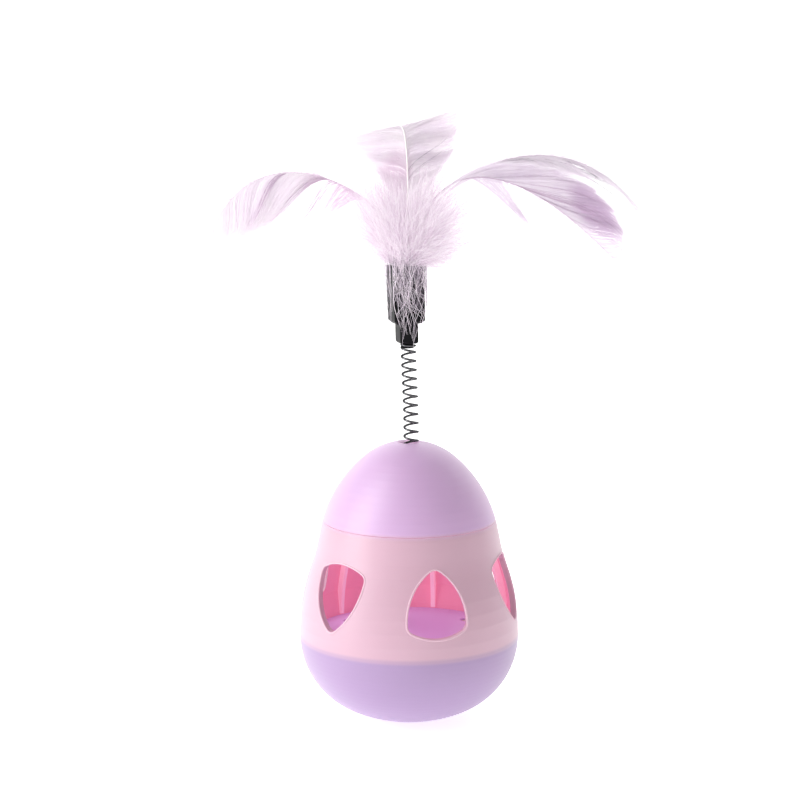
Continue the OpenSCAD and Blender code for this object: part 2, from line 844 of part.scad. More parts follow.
// Downy tuft: a fluted flare that rises beside the quills, leans out and curls over.
// Its middle line is an arch in the upright plane through the axis.
module tuft(azimuth, span, spread, rise) {
    steps = 12;
    sides = 12;
    base = 3.1;
    rings = [
        for (i = [0:steps])
            let (u = i / steps)
            let (r = base + spread * pow(u, 0.65))
            let (z = socket_top + 0.7 + rise * (2.6 * u - 1.75 * u * u))
            let (way = unit([spread * 0.65 * pow(max(u, 0.04), -0.35), rise * (2.6 - 3.5 * u)]))
            let (full = pow(sin(180 * mix(0.1, 0.94, u)), 0.6))
            let (wide = mix(0.5, min(r * tan(span / 2) - 0.35, 9.5), full))
            let (thick = mix(0.4, 5.4, full) * min(1, 0.4 + 2.4 * u))
            [
                for (k = [0:sides - 1])
                    let (angle = -360 * k / sides)
                    let (flute = 1 - 0.22 * u * pow(cos(90 + 3 * angle + 60 * u), 2))
                    [
                        wide * flute * cos(angle),
                        -r - thick * flute * sin(angle) * way[1],
                        z - thick * flute * sin(angle) * way[0]
                    ]
            ]
    ];
    points = [for (ring = rings) for (p = ring) p];
    color(plume)
        head() rotate([0, 0, azimuth])
            polyhedron(points, tube_faces(steps + 1, sides), convexity = 10);
}

module tuft_front() {
    tuft(0, 52, 16, 21);
}

module tuft_front_left() {
    tuft(-51, 46, 17, 20);
}

module tuft_front_right() {
    tuft(48, 43, 20, 18);
}

module tuft_rear_left() {
    tuft(-127, 46, 17, 21);
}

module tuft_rear_right() {
    tuft(142, 42, 19, 19);
}

base_bowl();
ballast_weight();
ballast_washer();
ballast_screw();
deck();
deck_screws();
middle_ring();
top_cover();
spring_anchor();
anchor_screws();
spring();
spring_plug();
feather_socket();
quill_glue();
feather_left();
feather_right();
feather_right_rear();
feather_back();
tuft_front();
tuft_front_left();
tuft_front_right();
tuft_rear_left();
tuft_rear_right();
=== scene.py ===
"""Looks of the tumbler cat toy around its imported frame: camera, light, materials, feathers, down and wire."""
import math

import bpy
import numpy as np
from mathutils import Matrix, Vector


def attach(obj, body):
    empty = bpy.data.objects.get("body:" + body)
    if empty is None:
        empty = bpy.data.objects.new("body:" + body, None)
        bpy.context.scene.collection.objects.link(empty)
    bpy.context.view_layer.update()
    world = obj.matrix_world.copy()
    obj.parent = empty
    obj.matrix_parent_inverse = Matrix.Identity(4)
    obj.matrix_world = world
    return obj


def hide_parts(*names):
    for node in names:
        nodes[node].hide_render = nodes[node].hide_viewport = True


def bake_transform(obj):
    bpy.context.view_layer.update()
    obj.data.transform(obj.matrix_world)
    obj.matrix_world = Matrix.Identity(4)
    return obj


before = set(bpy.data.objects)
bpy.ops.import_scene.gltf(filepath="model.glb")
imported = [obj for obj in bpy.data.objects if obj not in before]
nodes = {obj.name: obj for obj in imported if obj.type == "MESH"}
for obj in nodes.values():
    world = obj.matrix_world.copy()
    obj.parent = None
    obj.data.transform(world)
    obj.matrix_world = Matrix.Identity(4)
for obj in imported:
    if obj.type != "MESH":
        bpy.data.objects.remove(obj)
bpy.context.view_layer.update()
scene = bpy.context.scene
MM = 0.001

# Camera, floor and light

CAMERA_MM = (-3.371, -712.178, 231.817)
CAMERA_DOWN = 9.11
WHITE = (1.0, 1.0, 1.0, 1.0)


def add_camera():
    data = bpy.data.cameras.new("camera")
    data.sensor_width = 36.0
    data.lens = 90.0
    data.clip_start = 0.05
    data.clip_end = 20.0
    camera = bpy.data.objects.new("camera", data)
    scene.collection.objects.link(camera)
    camera.location = [c * MM for c in CAMERA_MM]
    camera.rotation_euler = (math.radians(90.0 - CAMERA_DOWN), 0.0, 0.0)
    scene.camera = camera


def new_material(name):
    material = bpy.data.materials.new(name)
    material.use_nodes = True
    tree = material.node_tree
    return material, tree, tree.nodes["Principled BSDF"]


def add_floor():
    """A floor that runs up into a backdrop behind the toy, on wide ground just under it."""
    reach, front, back, top = 3.0, -1.6, 1.6, 3.0
    bend, steps = 0.5, 24
    ground_reach, ground_z = 25.0, -0.002
    corners = ((-1, -1), (1, -1), (1, 1), (-1, 1))
    profile = [(front, 0.0), (back - bend, 0.0)]
    for i in range(1, steps + 1):
        angle = math.radians(90.0) * i / steps
        profile.append((back - bend + bend * math.sin(angle), bend - bend * math.cos(angle)))
    profile.append((back, top))
    vertices = [(x, y, z) for y, z in profile for x in (-reach, reach)]
    faces = [(2 * i, 2 * i + 1, 2 * i + 3, 2 * i + 2) for i in range(len(profile) - 1)]
    first = len(vertices)
    vertices += [(x * ground_reach, y * ground_reach, ground_z) for x, y in corners]
    faces.append((first, first + 1, first + 2, first + 3))
    mesh = bpy.data.meshes.new("floor")
    mesh.from_pydata(vertices, [], faces)
    mesh.polygons.foreach_set("use_smooth", [True] * len(faces))
    floor = bpy.data.objects.new("floor", mesh)
    scene.collection.objects.link(floor)
    material, _, shader = new_material("floor_white")
    shader.inputs["Base Color"].default_value = (0.96, 0.96, 0.96, 1.0)
    shader.inputs["Roughness"].default_value = 0.95
    shader.inputs["Specular IOR Level"].default_value = 0.05
    shader.inputs["Emission Color"].default_value = WHITE
    shader.inputs["Emission Strength"].default_value = 0.62
    mesh.materials.append(material)


def add_light(name, place, target, size, power):
    data = bpy.data.lights.new(name, "AREA")
    data.shape = "RECTANGLE"
    data.size, data.size_y = size
    data.energy = power
    light = bpy.data.objects.new(name, data)
    scene.collection.objects.link(light)
    light.location = place
    way = Vector(target) - Vector(place)
    light.rotation_euler = way.to_track_quat("-Z", "Y").to_euler()


def add_world():
    world = bpy.data.worlds.new("studio")
    scene.world = world
    world.use_nodes = True
    background = world.node_tree.nodes["Background"]
    background.inputs["Color"].default_value = WHITE
    background.inputs["Strength"].default_value = 0.45


add_camera()
add_floor()
add_world()
add_light("key", place=(-0.83, -0.30, 0.57), target=(0.0, 0.0, 0.08), size=(0.5, 1.1), power=9.0)
scene.view_settings.view_transform = "Standard"

# Egg outline and windows, in mm

BODY_R, BOTTOM_R, FOOT_D = 40.0, 55.0, 12.0
BELLY_R, WAIST_R = 75.0, 89.0
BOTTOM_ANGLE, BELLY_ANGLE = math.radians(25), math.radians(18.7)
FOOT_SINK = BOTTOM_R - math.sqrt(BOTTOM_R**2 - (FOOT_D / 2) ** 2)
SIDE_R = (BODY_R - BOTTOM_R * math.sin(BOTTOM_ANGLE)) / (1 - math.sin(BOTTOM_ANGLE))
WIDEST_Z = BOTTOM_R * (1 - math.cos(BOTTOM_ANGLE)) + SIDE_R * math.cos(BOTTOM_ANGLE) - FOOT_SINK
BOWL_EDGE, COVER_EDGE = 31.2, 73.7
WINDOW_COUNT, WINDOW_AZIMUTH, WINDOW_Z = 6, 15, 50.8
WINDOW_STEP = 360 // WINDOW_COUNT


def egg_radius(z):
    """Outer radius of the ring at a height between the seams."""
    z = np.asarray(z, float)
    turn_z = WIDEST_Z + BELLY_R * math.sin(BELLY_ANGLE)
    low = BODY_R - BELLY_R + np.sqrt(np.maximum(BELLY_R**2 - (z - WIDEST_Z) ** 2, 0))
    centre_r = BODY_R - BELLY_R + (BELLY_R + WAIST_R) * math.cos(BELLY_ANGLE)
    centre_z = WIDEST_Z + (BELLY_R + WAIST_R) * math.sin(BELLY_ANGLE)
    high = centre_r - np.sqrt(np.maximum(WAIST_R**2 - (z - centre_z) ** 2, 0))
    return np.where(z < turn_z, low, high)


# Plastics and metals

GRAIN_SCALE, GRAIN_DEPTH = 3500.0, 0.02 * MM
SHADE_SCALE, SHADE_CHANGE = 30.0, 0.025
POLISH_SCALE = 900.0


def cloud_of(tree, scale, detail=3.0, roughness=0.5):
    """Noise that stays on the piece."""
    place = tree.nodes.new("ShaderNodeTexCoord")
    cloud = tree.nodes.new("ShaderNodeTexNoise")
    cloud.inputs["Scale"].default_value = scale
    cloud.inputs["Detail"].default_value = detail
    cloud.inputs["Roughness"].default_value = roughness
    tree.links.new(place.outputs["Object"], cloud.inputs["Vector"])
    return cloud.outputs["Fac"]


def blend_colours(tree, factor, first, second):
    mix = tree.nodes.new("ShaderNodeMix")
    mix.data_type = "RGBA"
    for socket, colour in ((mix.inputs[6], first), (mix.inputs[7], second)):
        if isinstance(colour, tuple):
            socket.default_value = (*colour, 1.0)
        else:
            tree.links.new(colour, socket)
    tree.links.new(factor, mix.inputs["Factor"])
    return mix.outputs[2]


def height_ramp(tree, low, high):
    """0 under low, 1 over high, in mm of height on the part."""
    place = tree.nodes.new("ShaderNodeTexCoord")
    split = tree.nodes.new("ShaderNodeSeparateXYZ")
    ramp = tree.nodes.new("ShaderNodeMapRange")
    ramp.interpolation_type = "SMOOTHSTEP"
    ramp.inputs["From Min"].default_value = low * MM
    ramp.inputs["From Max"].default_value = high * MM
    tree.links.new(place.outputs["Object"], split.inputs["Vector"])
    tree.links.new(split.outputs["Z"], ramp.inputs["Value"])
    return ramp.outputs["Result"]


def plastic(name, colour, roughness, subsurface=0.0, glow=None, seams=(), coat=0.0):
    """Moulded plastic with a fine matte grain. glow is the colour and strength of a painted glow, light the
    part gives off in place of light that would reach it.
    seams are rows of low, high, colour under low and colour over high, None for the plastic's own."""
    material, tree, shader = new_material(name)
    shader.inputs["Roughness"].default_value = roughness
    shader.inputs["IOR"].default_value = 1.49
    shader.inputs["Coat Weight"].default_value = coat
    shader.inputs["Coat Roughness"].default_value = 0.5
    shader.inputs["Coat IOR"].default_value = 1.62
    shader.inputs["Specular IOR Level"].default_value = 0.1 + 0.35 * coat
    shader.inputs["Subsurface Weight"].default_value = subsurface
    shader.inputs["Subsurface Radius"].default_value = (1.0, 0.55, 0.7)
    shader.inputs["Subsurface Scale"].default_value = 0.003
    dark = tuple(c * (1 - SHADE_CHANGE) for c in colour)
    light = tuple(min(1.0, c * (1 + SHADE_CHANGE)) for c in colour)
    shade = blend_colours(tree, cloud_of(tree, SHADE_SCALE), dark, light)
    for low, high, under, over in seams:
        ramp = height_ramp(tree, low, high)
        shade = blend_colours(tree, ramp, under or shade, over or shade)
    tree.links.new(shade, shader.inputs["Base Color"])
    # Painted glow: emission that stands in for light reaching the part
    if glow:
        shader.inputs["Emission Color"].default_value = (*glow[0], 1.0)
        shader.inputs["Emission Strength"].default_value = glow[1]
    bump = tree.nodes.new("ShaderNodeBump")
    bump.inputs["Strength"].default_value = 0.25
    bump.inputs["Distance"].default_value = GRAIN_DEPTH
    tree.links.new(cloud_of(tree, GRAIN_SCALE, 2.0), bump.inputs["Height"])
    tree.links.new(bump.outputs["Normal"], shader.inputs["Normal"])
    return material


def metal(name, colour, roughness, edge=1.0):
    """Metal with patches of a little more and less polish; edge is how bright it gets seen aslant."""
    material, tree, shader = new_material(name)
    shader.inputs["Metallic"].default_value = 1.0
    shader.inputs["Specular Tint"].default_value = (edge, edge, edge, 1.0)
    shader.inputs["Base Color"].default_value = (*colour, 1.0)
    spread = tree.nodes.new("ShaderNodeMapRange")
    spread.inputs["To Min"].default_value = roughness * 0.8
    spread.inputs["To Max"].default_value = roughness * 1.2
    tree.links.new(cloud_of(tree, POLISH_SCALE), spread.inputs["Value"])
    tree.links.new(spread.outputs["Result"], shader.inputs["Roughness"])
    return material


def paint(material, *names):
    for name in names:
        mesh = nodes[name].data
        mesh.materials.clear()
        mesh.materials.append(material)
        mesh.polygons.foreach_set("material_index", [0] * len(mesh.polygons))


def paint_where(material, name, chosen):
    """Give the faces that chosen(reach, height, outward, upward, azimuth) picks a material of their own."""
    mesh = nodes[name].data
    mesh.materials.append(material)
    slot = len(mesh.materials) - 1
    for face in mesh.polygons:
        x, y, z = face.center
        reach = max(math.hypot(x, y), 1e-6)
        outward = (face.normal.x * x + face.normal.y * y) / reach
        azimuth = math.degrees(math.atan2(x, -y))
        if chosen(reach / MM, z / MM, outward, face.normal.z, azimuth):
            face.material_index = slot


LILAC = (0.610, 0.385, 0.640)
BOWL_LILAC = (0.360, 0.232, 0.440)
PINK = (0.600, 0.365, 0.462)
MID = (0.600, 0.370, 0.520)
LOW_MID = (0.470, 0.290, 0.440)
# Colour of the painted light in the gap under the cover
SEAM_GLOW_COLOUR = (0.86, 0.60, 0.70)
COVER_FADE = (COVER_EDGE, COVER_EDGE + 1.3, MID, None)
BOWL_FADE = (BOWL_EDGE - 1.3, BOWL_EDGE, None, LOW_MID)
RING_FADES = (BOWL_EDGE, BOWL_EDGE + 1.5, LOW_MID, None), (COVER_EDGE - 1.3, COVER_EDGE + 0.2, None, MID)
lilac = plastic("lilac_plastic", LILAC, 0.45, 0.1, seams=(COVER_FADE,), coat=1.0)
bowl_lilac = plastic("lilac_plastic_bowl", BOWL_LILAC, 0.45, 0.1, seams=(BOWL_FADE,), coat=1.0)
pink = plastic("pink_plastic", PINK, 0.45, 0.1, seams=RING_FADES, coat=1.0)
# Inside wall of the ring: a deeper pink and a glow that paint the light bounced around inside the shell
inside_pink_painted_light = plastic("pink_inside_painted_light", (0.84, 0.38, 0.50), 0.45, 0.1, ((0.9, 0.28, 0.43), 0.21))
# Ribs inside the ring: a lighter pink and a glow that paint the highlight on their lit sides
rib_pink_painted_highlight = plastic("pink_ribs_painted_highlight", (0.92, 0.62, 0.72), 0.45, 0.1, ((0.9, 0.45, 0.58), 0.3))
# Deck: its lilac with a painted glow for the light that comes in through the windows
deck_lilac = plastic("lilac_deck", (0.56, 0.39, 0.66), 0.4, 0.1, ((0.60, 0.25, 0.55), 0.24))
# Inside of the cover and its nose hole: a lighter lilac and a painted glow for light that gets into the hollow
dome_inside = plastic("lilac_inside", (0.78, 0.58, 0.76), 0.5, 0.1, ((0.80, 0.60, 0.80), 0.22))
# Faces in the gap between cover and ring: painted light that fills the shade of the gap
seam_pink_painted_light = plastic("pink_seam_painted_light", (0.80, 0.56, 0.68), 0.5, 0.1, (SEAM_GLOW_COLOUR, 0.16))
# Window rims: a lighter pink that paints the light the window edges catch
rim_pink_painted_highlight = plastic("pink_rim_painted_highlight", (0.72, 0.48, 0.57), 0.42, 0.15)
black = plastic("black_plastic", (0.005, 0.005, 0.006), 0.42)
glue = plastic("glue", (0.70, 0.66, 0.58), 0.5, 0.2)
steel = metal("ballast_steel", (0.42, 0.43, 0.45), 0.45)
zinc = metal("screw_steel", (0.62, 0.62, 0.63), 0.3)
# Spring wire: a low colour and dull edges that paint in the dark studio the steel reflects
wire_painted_dark = metal("spring_wire", (0.12, 0.12, 0.125), 0.22, 0.15)
paint(lilac, "top_cover", "spring_anchor")
paint(bowl_lilac, "base_bowl")
paint(deck_lilac, "deck")
paint(pink, "middle_ring")

INWARD, LEVEL = -0.35, 0.6
RIB_HALF_ANGLE, RIB_DEPTH, RIB_LOW, RIB_HIGH = 1.7, 2.3, 30, 72
RING_TOP, RING_INSET, NOSE_HOLE_R, DOME_FOOT = 72.5, 0.4, 4.2, 74.5


def inner_wall(reach, z, outward, upward, azimuth):
    return outward < INWARD


def ribs(reach, z, outward, upward, azimuth):
    beside = abs((azimuth - WINDOW_AZIMUTH) % WINDOW_STEP - WINDOW_STEP / 2)
    deep = reach < egg_radius(z) - RIB_DEPTH
    return beside < RIB_HALF_ANGLE and deep and RIB_LOW < z < RIB_HIGH


# Ring faces in the gap under the cover, which take the painted seam light
def ring_seam(reach, z, outward, upward, azimuth):
    return z > RING_TOP and (upward > LEVEL or reach < egg_radius(z) - RING_INSET)


def dome_hollow(reach, z, outward, upward, azimuth):
    return outward < INWARD or reach < NOSE_HOLE_R


# Cover faces that look down into the gap, which take the painted seam light
def dome_seam(reach, z, outward, upward, azimuth):
    return z < DOME_FOOT and upward < -LEVEL


paint_where(inside_pink_painted_light, "middle_ring", inner_wall)
paint_where(rib_pink_painted_highlight, "middle_ring", ribs)
paint_where(seam_pink_painted_light, "middle_ring", ring_seam)
paint_where(dome_inside, "top_cover", dome_hollow)
paint_where(seam_pink_painted_light, "top_cover", dome_seam)
paint(black, "spring_plug", "feather_socket")
paint(glue, "quill_glue")
paint(steel, "ballast_weight")
paint(zinc, "ballast_washer", "ballast_screw", "deck_screws", "anchor_screws")
paint(wire_painted_dark, "spring")

# Helpers that the added pieces share


def unit(v):
    return v / np.maximum(np.linalg.norm(v, axis=-1, keepdims=True), 1e-9)


def smooth(t, low, high):
    s = np.clip((t - low) / (high - low), 0.0, 1.0)
    return s * s * (3.0 - 2.0 * s)


def bezier(p, t):
    t = np.asarray(t, float)[:, None]
    return (1 - t) ** 3 * p[0] + 3 * t * (1 - t) ** 2 * p[1] + 3 * t**2 * (1 - t) * p[2] + t**3 * p[3]


def bezier_way(p, t):
    t = np.asarray(t, float)[:, None]
    return unit((1 - t) ** 2 * (p[1] - p[0]) + 2 * t * (1 - t) * (p[2] - p[1]) + t**2 * (p[3] - p[2]))


def walk(foot, ways, step):
    """Lines that start at foot and take a step along each of their ways but the last."""
    moves = np.cumsum(ways[:, :-1] * step, axis=1)
    return foot[:, None] + np.concatenate([np.zeros((len(foot), 1, 3)), moves], axis=1)


def facing(toward, scatter, count, s, rng):
    """Normals about one way, one for each line and the same all along it."""
    return unit(rng.normal(0, scatter, (count, 1, 3)) + np.array(toward)) + 0 * s[..., None]


def ribbons(lines, width, normal):
    """Thin flat strips: lines (n, m, 3), width (n, m), normal (n, m, 3)."""
    n, m, _ = lines.shape
    way = np.gradient(lines, axis=1)
    side = unit(np.cross(unit(way), normal)) * width[..., None] / 2
    points = np.stack([lines - side, lines + side], axis=2).reshape(-1, 3)
    base = (np.arange(n)[:, None] * m + np.arange(m - 1)[None, :]) * 2
    quads = np.stack([base, base + 1, base + 3, base + 2], axis=-1).reshape(-1, 4)
    return points, quads


def tube(centre, radius, sides=8, closed=False, across=(0.13, -0.95, 0.2)):
    """Round tube along a line of centres; across is a way that the line never takes."""
    if closed:
        way = unit(np.roll(centre, -1, axis=0) - np.roll(centre, 1, axis=0))
    else:
        way = unit(np.gradient(centre, axis=0))
    a = unit(np.cross(way, np.asarray(across, float)))
    b = np.cross(way, a)
    angle = 2 * np.pi * np.arange(sides) / sides
    ring = a[:, None, :] * np.cos(angle)[None, :, None] + b[:, None, :] * np.sin(angle)[None, :, None]
    points = (centre[:, None, :] + ring * np.asarray(radius)[:, None, None]).reshape(-1, 3)
    count = len(centre)
    i = np.arange(count if closed else count - 1)[:, None]
    k = np.arange(sides)[None, :]
    after = (i + 1) % count * sides
    nxt = (k + 1) % sides
    quads = np.stack([i * sides + k, i * sides + nxt, after + nxt, after + k], axis=-1).reshape(-1, 4)
    return points, quads


def mesh_object(name, parts, materials, part_material=None):
    """One object from several (points in mm, quads) parts."""
    points, quads, index, base = [], [], [], 0
    for i, (p, q) in enumerate(parts):
        points.append(p)
        quads.append(q + base)
        index.append(np.full(len(q), 0 if part_material is None else part_material[i]))
        base += len(p)
    points = np.concatenate(points) * MM
    quads = np.concatenate(quads)
    mesh = bpy.data.meshes.new(name)
    mesh.vertices.add(len(points))
    mesh.vertices.foreach_set("co", points.astype(np.float32).ravel())
    mesh.loops.add(quads.size)
    mesh.loops.foreach_set("vertex_index", quads.astype(np.int32).ravel())
    mesh.polygons.add(len(quads))
    mesh.polygons.foreach_set("loop_start", np.arange(len(quads), dtype=np.int32) * 4)
    mesh.polygons.foreach_set("material_index", np.concatenate(index).astype(np.int32))
    mesh.update(calc_edges=True)
    mesh.validate()
    mesh.polygons.foreach_set("use_smooth", [True] * len(mesh.polygons))
    for material in materials:
        mesh.materials.append(material)
    piece = bpy.data.objects.new(name, mesh)
    scene.collection.objects.link(piece)
    return piece


# Window rims

WINDOW_W, WINDOW_H, WINDOW_SIDE_R, WINDOW_END_R, WINDOW_CORNER_R = 21.6, 23.4, 22.0, 20.0, 3.0
RIM_R, RIM_OUTSIDE, RIM_SINK = 0.42, 0.3, 0.22


def arc(centre, radius, start, end, count):
    angle = np.linspace(start, end, count, endpoint=False)
    return np.stack([centre[0] + radius * np.cos(angle), centre[1] + radius * np.sin(angle)], axis=1)


def window_contour():
    """Closed outline of a window, point up, around its middle: x and height."""
    rc, side_r, end_r, w, h = WINDOW_CORNER_R, WINDOW_SIDE_R, WINDOW_END_R, WINDOW_W, WINDOW_H
    top = np.array([0.0, h / 2 - rc])
    end_centre = np.array([0.0, -h / 2 + end_r])
    low_x = w / 2 - rc
    low = np.array([low_x, end_centre[1] - math.sqrt((end_r - rc) ** 2 - low_x**2)])
    half = np.linalg.norm(top - low) / 2
    along = (low - top) / (2 * half)
    centre = (top + low) / 2 - math.sqrt((side_r - rc) ** 2 - half**2) * np.array([-along[1], along[0]])

    def heading(a, b):
        return math.atan2(b[1] - a[1], b[0] - a[0])

    side_top, side_low = heading(centre, top), heading(centre, low)
    end_low = heading(end_centre, low)
    right = [
        arc(top, rc, math.pi / 2, side_top, 8),
        arc(centre, side_r, side_top, side_low, 40),
        arc(low, rc, side_low, end_low, 12),
        arc(end_centre, end_r, end_low, -math.pi / 2, 20),
    ]
    right = np.concatenate(right)
    left = right[::-1] * np.array([-1.0, 1.0])
    return np.concatenate([right, [[0.0, -h / 2]], left[:-1]])


def window_rims():
    """A soft raised lip around each window, point up and point down by turns, in a lighter pink that paints the
    light the window edges catch.
    """
    contour = window_contour()
    parts = []
    for k in range(WINDOW_COUNT):
        flip = -1.0 if k % 2 else 1.0
        line = contour * np.array([1.0, flip])
        way = unit(np.roll(line, -1, axis=0) - np.roll(line, 1, axis=0))
        normal = np.stack([-way[:, 1], way[:, 0]], axis=1)
        outward = np.sign((normal * line).sum(axis=1).mean())
        line = line + normal * outward * RIM_OUTSIDE
        z = WINDOW_Z + line[:, 1]
        reach = egg_radius(z)
        y = -np.sqrt(reach**2 - line[:, 0] ** 2)
        flat = np.stack([line[:, 0], y, z], axis=1)
        inward = np.stack([-line[:, 0] / reach, -y / reach, np.zeros(len(z))], axis=1)
        flat = flat + inward * RIM_SINK
        angle = math.radians(WINDOW_AZIMUTH + WINDOW_STEP * k)
        cos, sin = math.cos(angle), math.sin(angle)
        turn = np.array([[cos, -sin, 0], [sin, cos, 0], [0, 0, 1]])
        parts.append(tube(flat @ turn.T, np.full(len(flat), RIM_R), 10, closed=True, across=inward @ turn.T))
    piece = mesh_object("window_rims", parts, [rim_pink_painted_highlight])
    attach(piece, "egg")


window_rims()

# Spring

SPRING_TOP, HEAD_OFF, BLOCK_OFF, HEAD_LEAN = 138.4, 0.45, 0.4, math.radians(1.4)
BLOCK_TURN = math.radians(15)
SPRING_FOOT, STRAIGHT_Z, BOW_Z, BOW = 89.85, 94.85, 104.85, 0.65
WIRE_D, COIL_D, COIL_TURNS, COIL_START = 0.8, 5.7, 16.2, 211
BEND_LOW, BEND_SPLIT, BEND_HIGH = 98.0, 120.6, 136.0


def spring_x(z):
    """Sideways place of the spring's middle: a small bow, then the lean of the head."""
    u = np.maximum(0, z - BOW_Z) / (SPRING_TOP - BOW_Z)
    lean = math.tan(HEAD_LEAN) * (SPRING_TOP - BOW_Z) / 2
    return BOW * smooth(z, STRAIGHT_Z, BOW_Z) - (BOW + HEAD_OFF - lean) * smooth(u, 0, 1) - lean * u * u


def springs():
    """One close-ended coil in two pieces, which meet where the bend passes from one hinge to the other."""
    wire, turns, end_gap = WIRE_D, COIL_TURNS, 0.05
    closed_pitch, steps_a_turn = 1.1, 40
    low = SPRING_FOOT + wire / 2 + end_gap
    height = SPRING_TOP - wire / 2 - end_gap - low
    closed = wire * closed_pitch
    turn = np.linspace(0, turns, int(turns * steps_a_turn) + 1)
    even = closed + (turn - 1) * (height - 2 * closed) / (turns - 2)
    ending = height - (turns - turn) * closed
    rise = np.where(turn < 1, turn * closed, np.where(turn > turns - 1, ending, even))
    z = low + rise
    angle = np.radians(COIL_START - 360 * turn)
    coil = (COIL_D - wire) / 2
    line = np.stack([spring_x(z) + coil * np.cos(angle), coil * np.sin(angle), z], axis=1)
    split = int(np.searchsorted(z, BEND_SPLIT))
    for name, part, bodies, ends in (
        ("spring_lower", line[: split + 1], ("cover", "spring_middle"), (BEND_LOW, BEND_SPLIT)),
        ("spring_upper", line[split:], ("spring_middle", "feather_head"), (BEND_SPLIT, BEND_HIGH)),
    ):
        piece = mesh_object(name, [tube(part, np.full(len(part), wire / 2), 12, across=(0, 0, 1))], [wire_painted_dark])
        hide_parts("spring")
        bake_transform(piece)


springs()

# Feathers


def plume_material(name, colour, deep, scale, glow, through_share=0.45, patch=None):
    """Barbs that let light through, in slow shades of one dye, with a darker patch where one is given, and a
    painted glow of their own colour.
    A patch is its centre and half sizes in mm, its turn about Y in degrees and its colour."""
    material, tree, shader = new_material(name)
    spread = tree.nodes.new("ShaderNodeMapRange")
    spread.inputs["From Min"].default_value = 0.35
    spread.inputs["From Max"].default_value = 0.62
    tree.links.new(cloud_of(tree, scale, 8.0, 0.72), spread.inputs["Value"])
    shade = blend_colours(tree, spread.outputs["Result"], deep, colour)
    if patch:
        centre, half, turn, dye = patch
        place = tree.nodes.new("ShaderNodeTexCoord")
        frame_of = tree.nodes.new("ShaderNodeMapping")
        frame_of.vector_type = "TEXTURE"
        frame_of.inputs["Location"].default_value = [c * MM for c in centre]
        frame_of.inputs["Rotation"].default_value = (0.0, math.radians(turn), 0.0)
        frame_of.inputs["Scale"].default_value = [h * MM for h in half]
        reach = tree.nodes.new("ShaderNodeVectorMath")
        reach.operation = "LENGTH"
        fade = tree.nodes.new("ShaderNodeMapRange")
        fade.interpolation_type = "SMOOTHSTEP"
        fade.inputs["From Min"].default_value = 0.45
        fade.inputs["From Max"].default_value = 1.15
        tree.links.new(place.outputs["Object"], frame_of.inputs["Vector"])
        tree.links.new(frame_of.outputs["Vector"], reach.inputs[0])
        tree.links.new(reach.outputs["Value"], fade.inputs["Value"])
        shade = blend_colours(tree, fade.outputs["Result"], dye, shade)
    tree.links.new(shade, shader.inputs["Base Color"])
    # Painted glow: the barbs give off light of their own colour in place of light that would reach them
    tree.links.new(shade, shader.inputs["Emission Color"])
    shader.inputs["Emission Strength"].default_value = glow
    shader.inputs["Roughness"].default_value = 0.75
    shader.inputs["Specular IOR Level"].default_value = 0.15
    shader.inputs["Sheen Weight"].default_value = 0.25
    shader.inputs["Sheen Roughness"].default_value = 0.6
    through = tree.nodes.new("ShaderNodeBsdfTranslucent")
    tree.links.new(shade, through.inputs["Color"])
    both = tree.nodes.new("ShaderNodeMixShader")
    both.inputs["Fac"].default_value = through_share
    out = tree.nodes["Material Output"]
    tree.links.new(shader.outputs["BSDF"], both.inputs[1])
    tree.links.new(through.outputs["BSDF"], both.inputs[2])
    tree.links.new(both.outputs["Shader"], out.inputs["Surface"])
    return material


SOCKET_TOP, QUILL_FOOT = 166.4, 154.4
BARB_STEPS, FRINGE_STEPS = 9, 7
BARB_TWIST = 0.42


def head_point(p):
    """Place of a point of the upright head where the bowed spring holds it."""
    p = np.asarray(p, float)
    high, out = p[..., 2] - SPRING_TOP, p[..., 0] - BLOCK_OFF
    x = out * math.cos(HEAD_LEAN) - high * math.sin(HEAD_LEAN) - HEAD_OFF
    z = SPRING_TOP + out * math.sin(HEAD_LEAN) + high * math.cos(HEAD_LEAN)
    return np.stack([x, p[..., 1], z], axis=-1)


def sheet(curve, start, end, first_tip, last_tip, ahead, count, width, rng):
    """Barbs that leave the shaft between start and end and reach for the line from first_tip to last_tip.
    ahead is how far a barb first follows the shaft, as a share of its length."""
    tip_scatter, tip_drift, layers = 0.35, 0.3, 0.45
    short_scatter, short_most = 0.022, 0.3
    knee_pull, heel_pull = 0.12, 0.32
    u = np.sort(rng.uniform(0, 1, count))
    t = start + u * (end - start)
    foot = bezier(curve, t)
    way = bezier_way(curve, t)
    first, last = np.array(first_tip, float), np.array(last_tip, float)
    goal = first + u[:, None] * (last - first) + rng.normal(0, tip_scatter, (count, 3))
    length = np.linalg.norm(goal - foot, axis=1, keepdims=True)
    short = np.abs(rng.normal(0, short_scatter, (count, 1)))
    short = short + short_most * rng.uniform(0, 1, (count, 1)) ** 14
    goal = goal + (foot - goal) * short
    edge = unit(last - first)
    edge = edge * np.sign((goal - foot) @ edge)[:, None]
    knee = foot + way * length * ahead + (goal - foot) * knee_pull
    heel = goal - unit(0.7 * edge + 0.6 * unit(goal - foot)) * length * heel_pull
    s = np.linspace(0.0, 1.0, BARB_STEPS)[None, :, None]
    line = (1 - s) ** 3 * foot[:, None] + 3 * s * (1 - s) ** 2 * knee[:, None]
    line = line + 3 * s**2 * (1 - s) * heel[:, None] + s**3 * goal[:, None]
    out = unit(np.cross(way, goal - foot))
    line = line + out[:, None] * rng.normal(0, layers, (count, 1, 1)) * s**1.3
    line = line + rng.normal(0, tip_drift, (count, 1, 3)) * s**3
    wide = width * (1 - 0.75 * s[..., 0] ** 2.5) * rng.uniform(0.6, 1.2, (count, 1))
    normal = unit(out[:, None] + rng.normal(0, BARB_TWIST, (count, 1, 3)) + 0 * s)
    return ribbons(line, wide, normal)


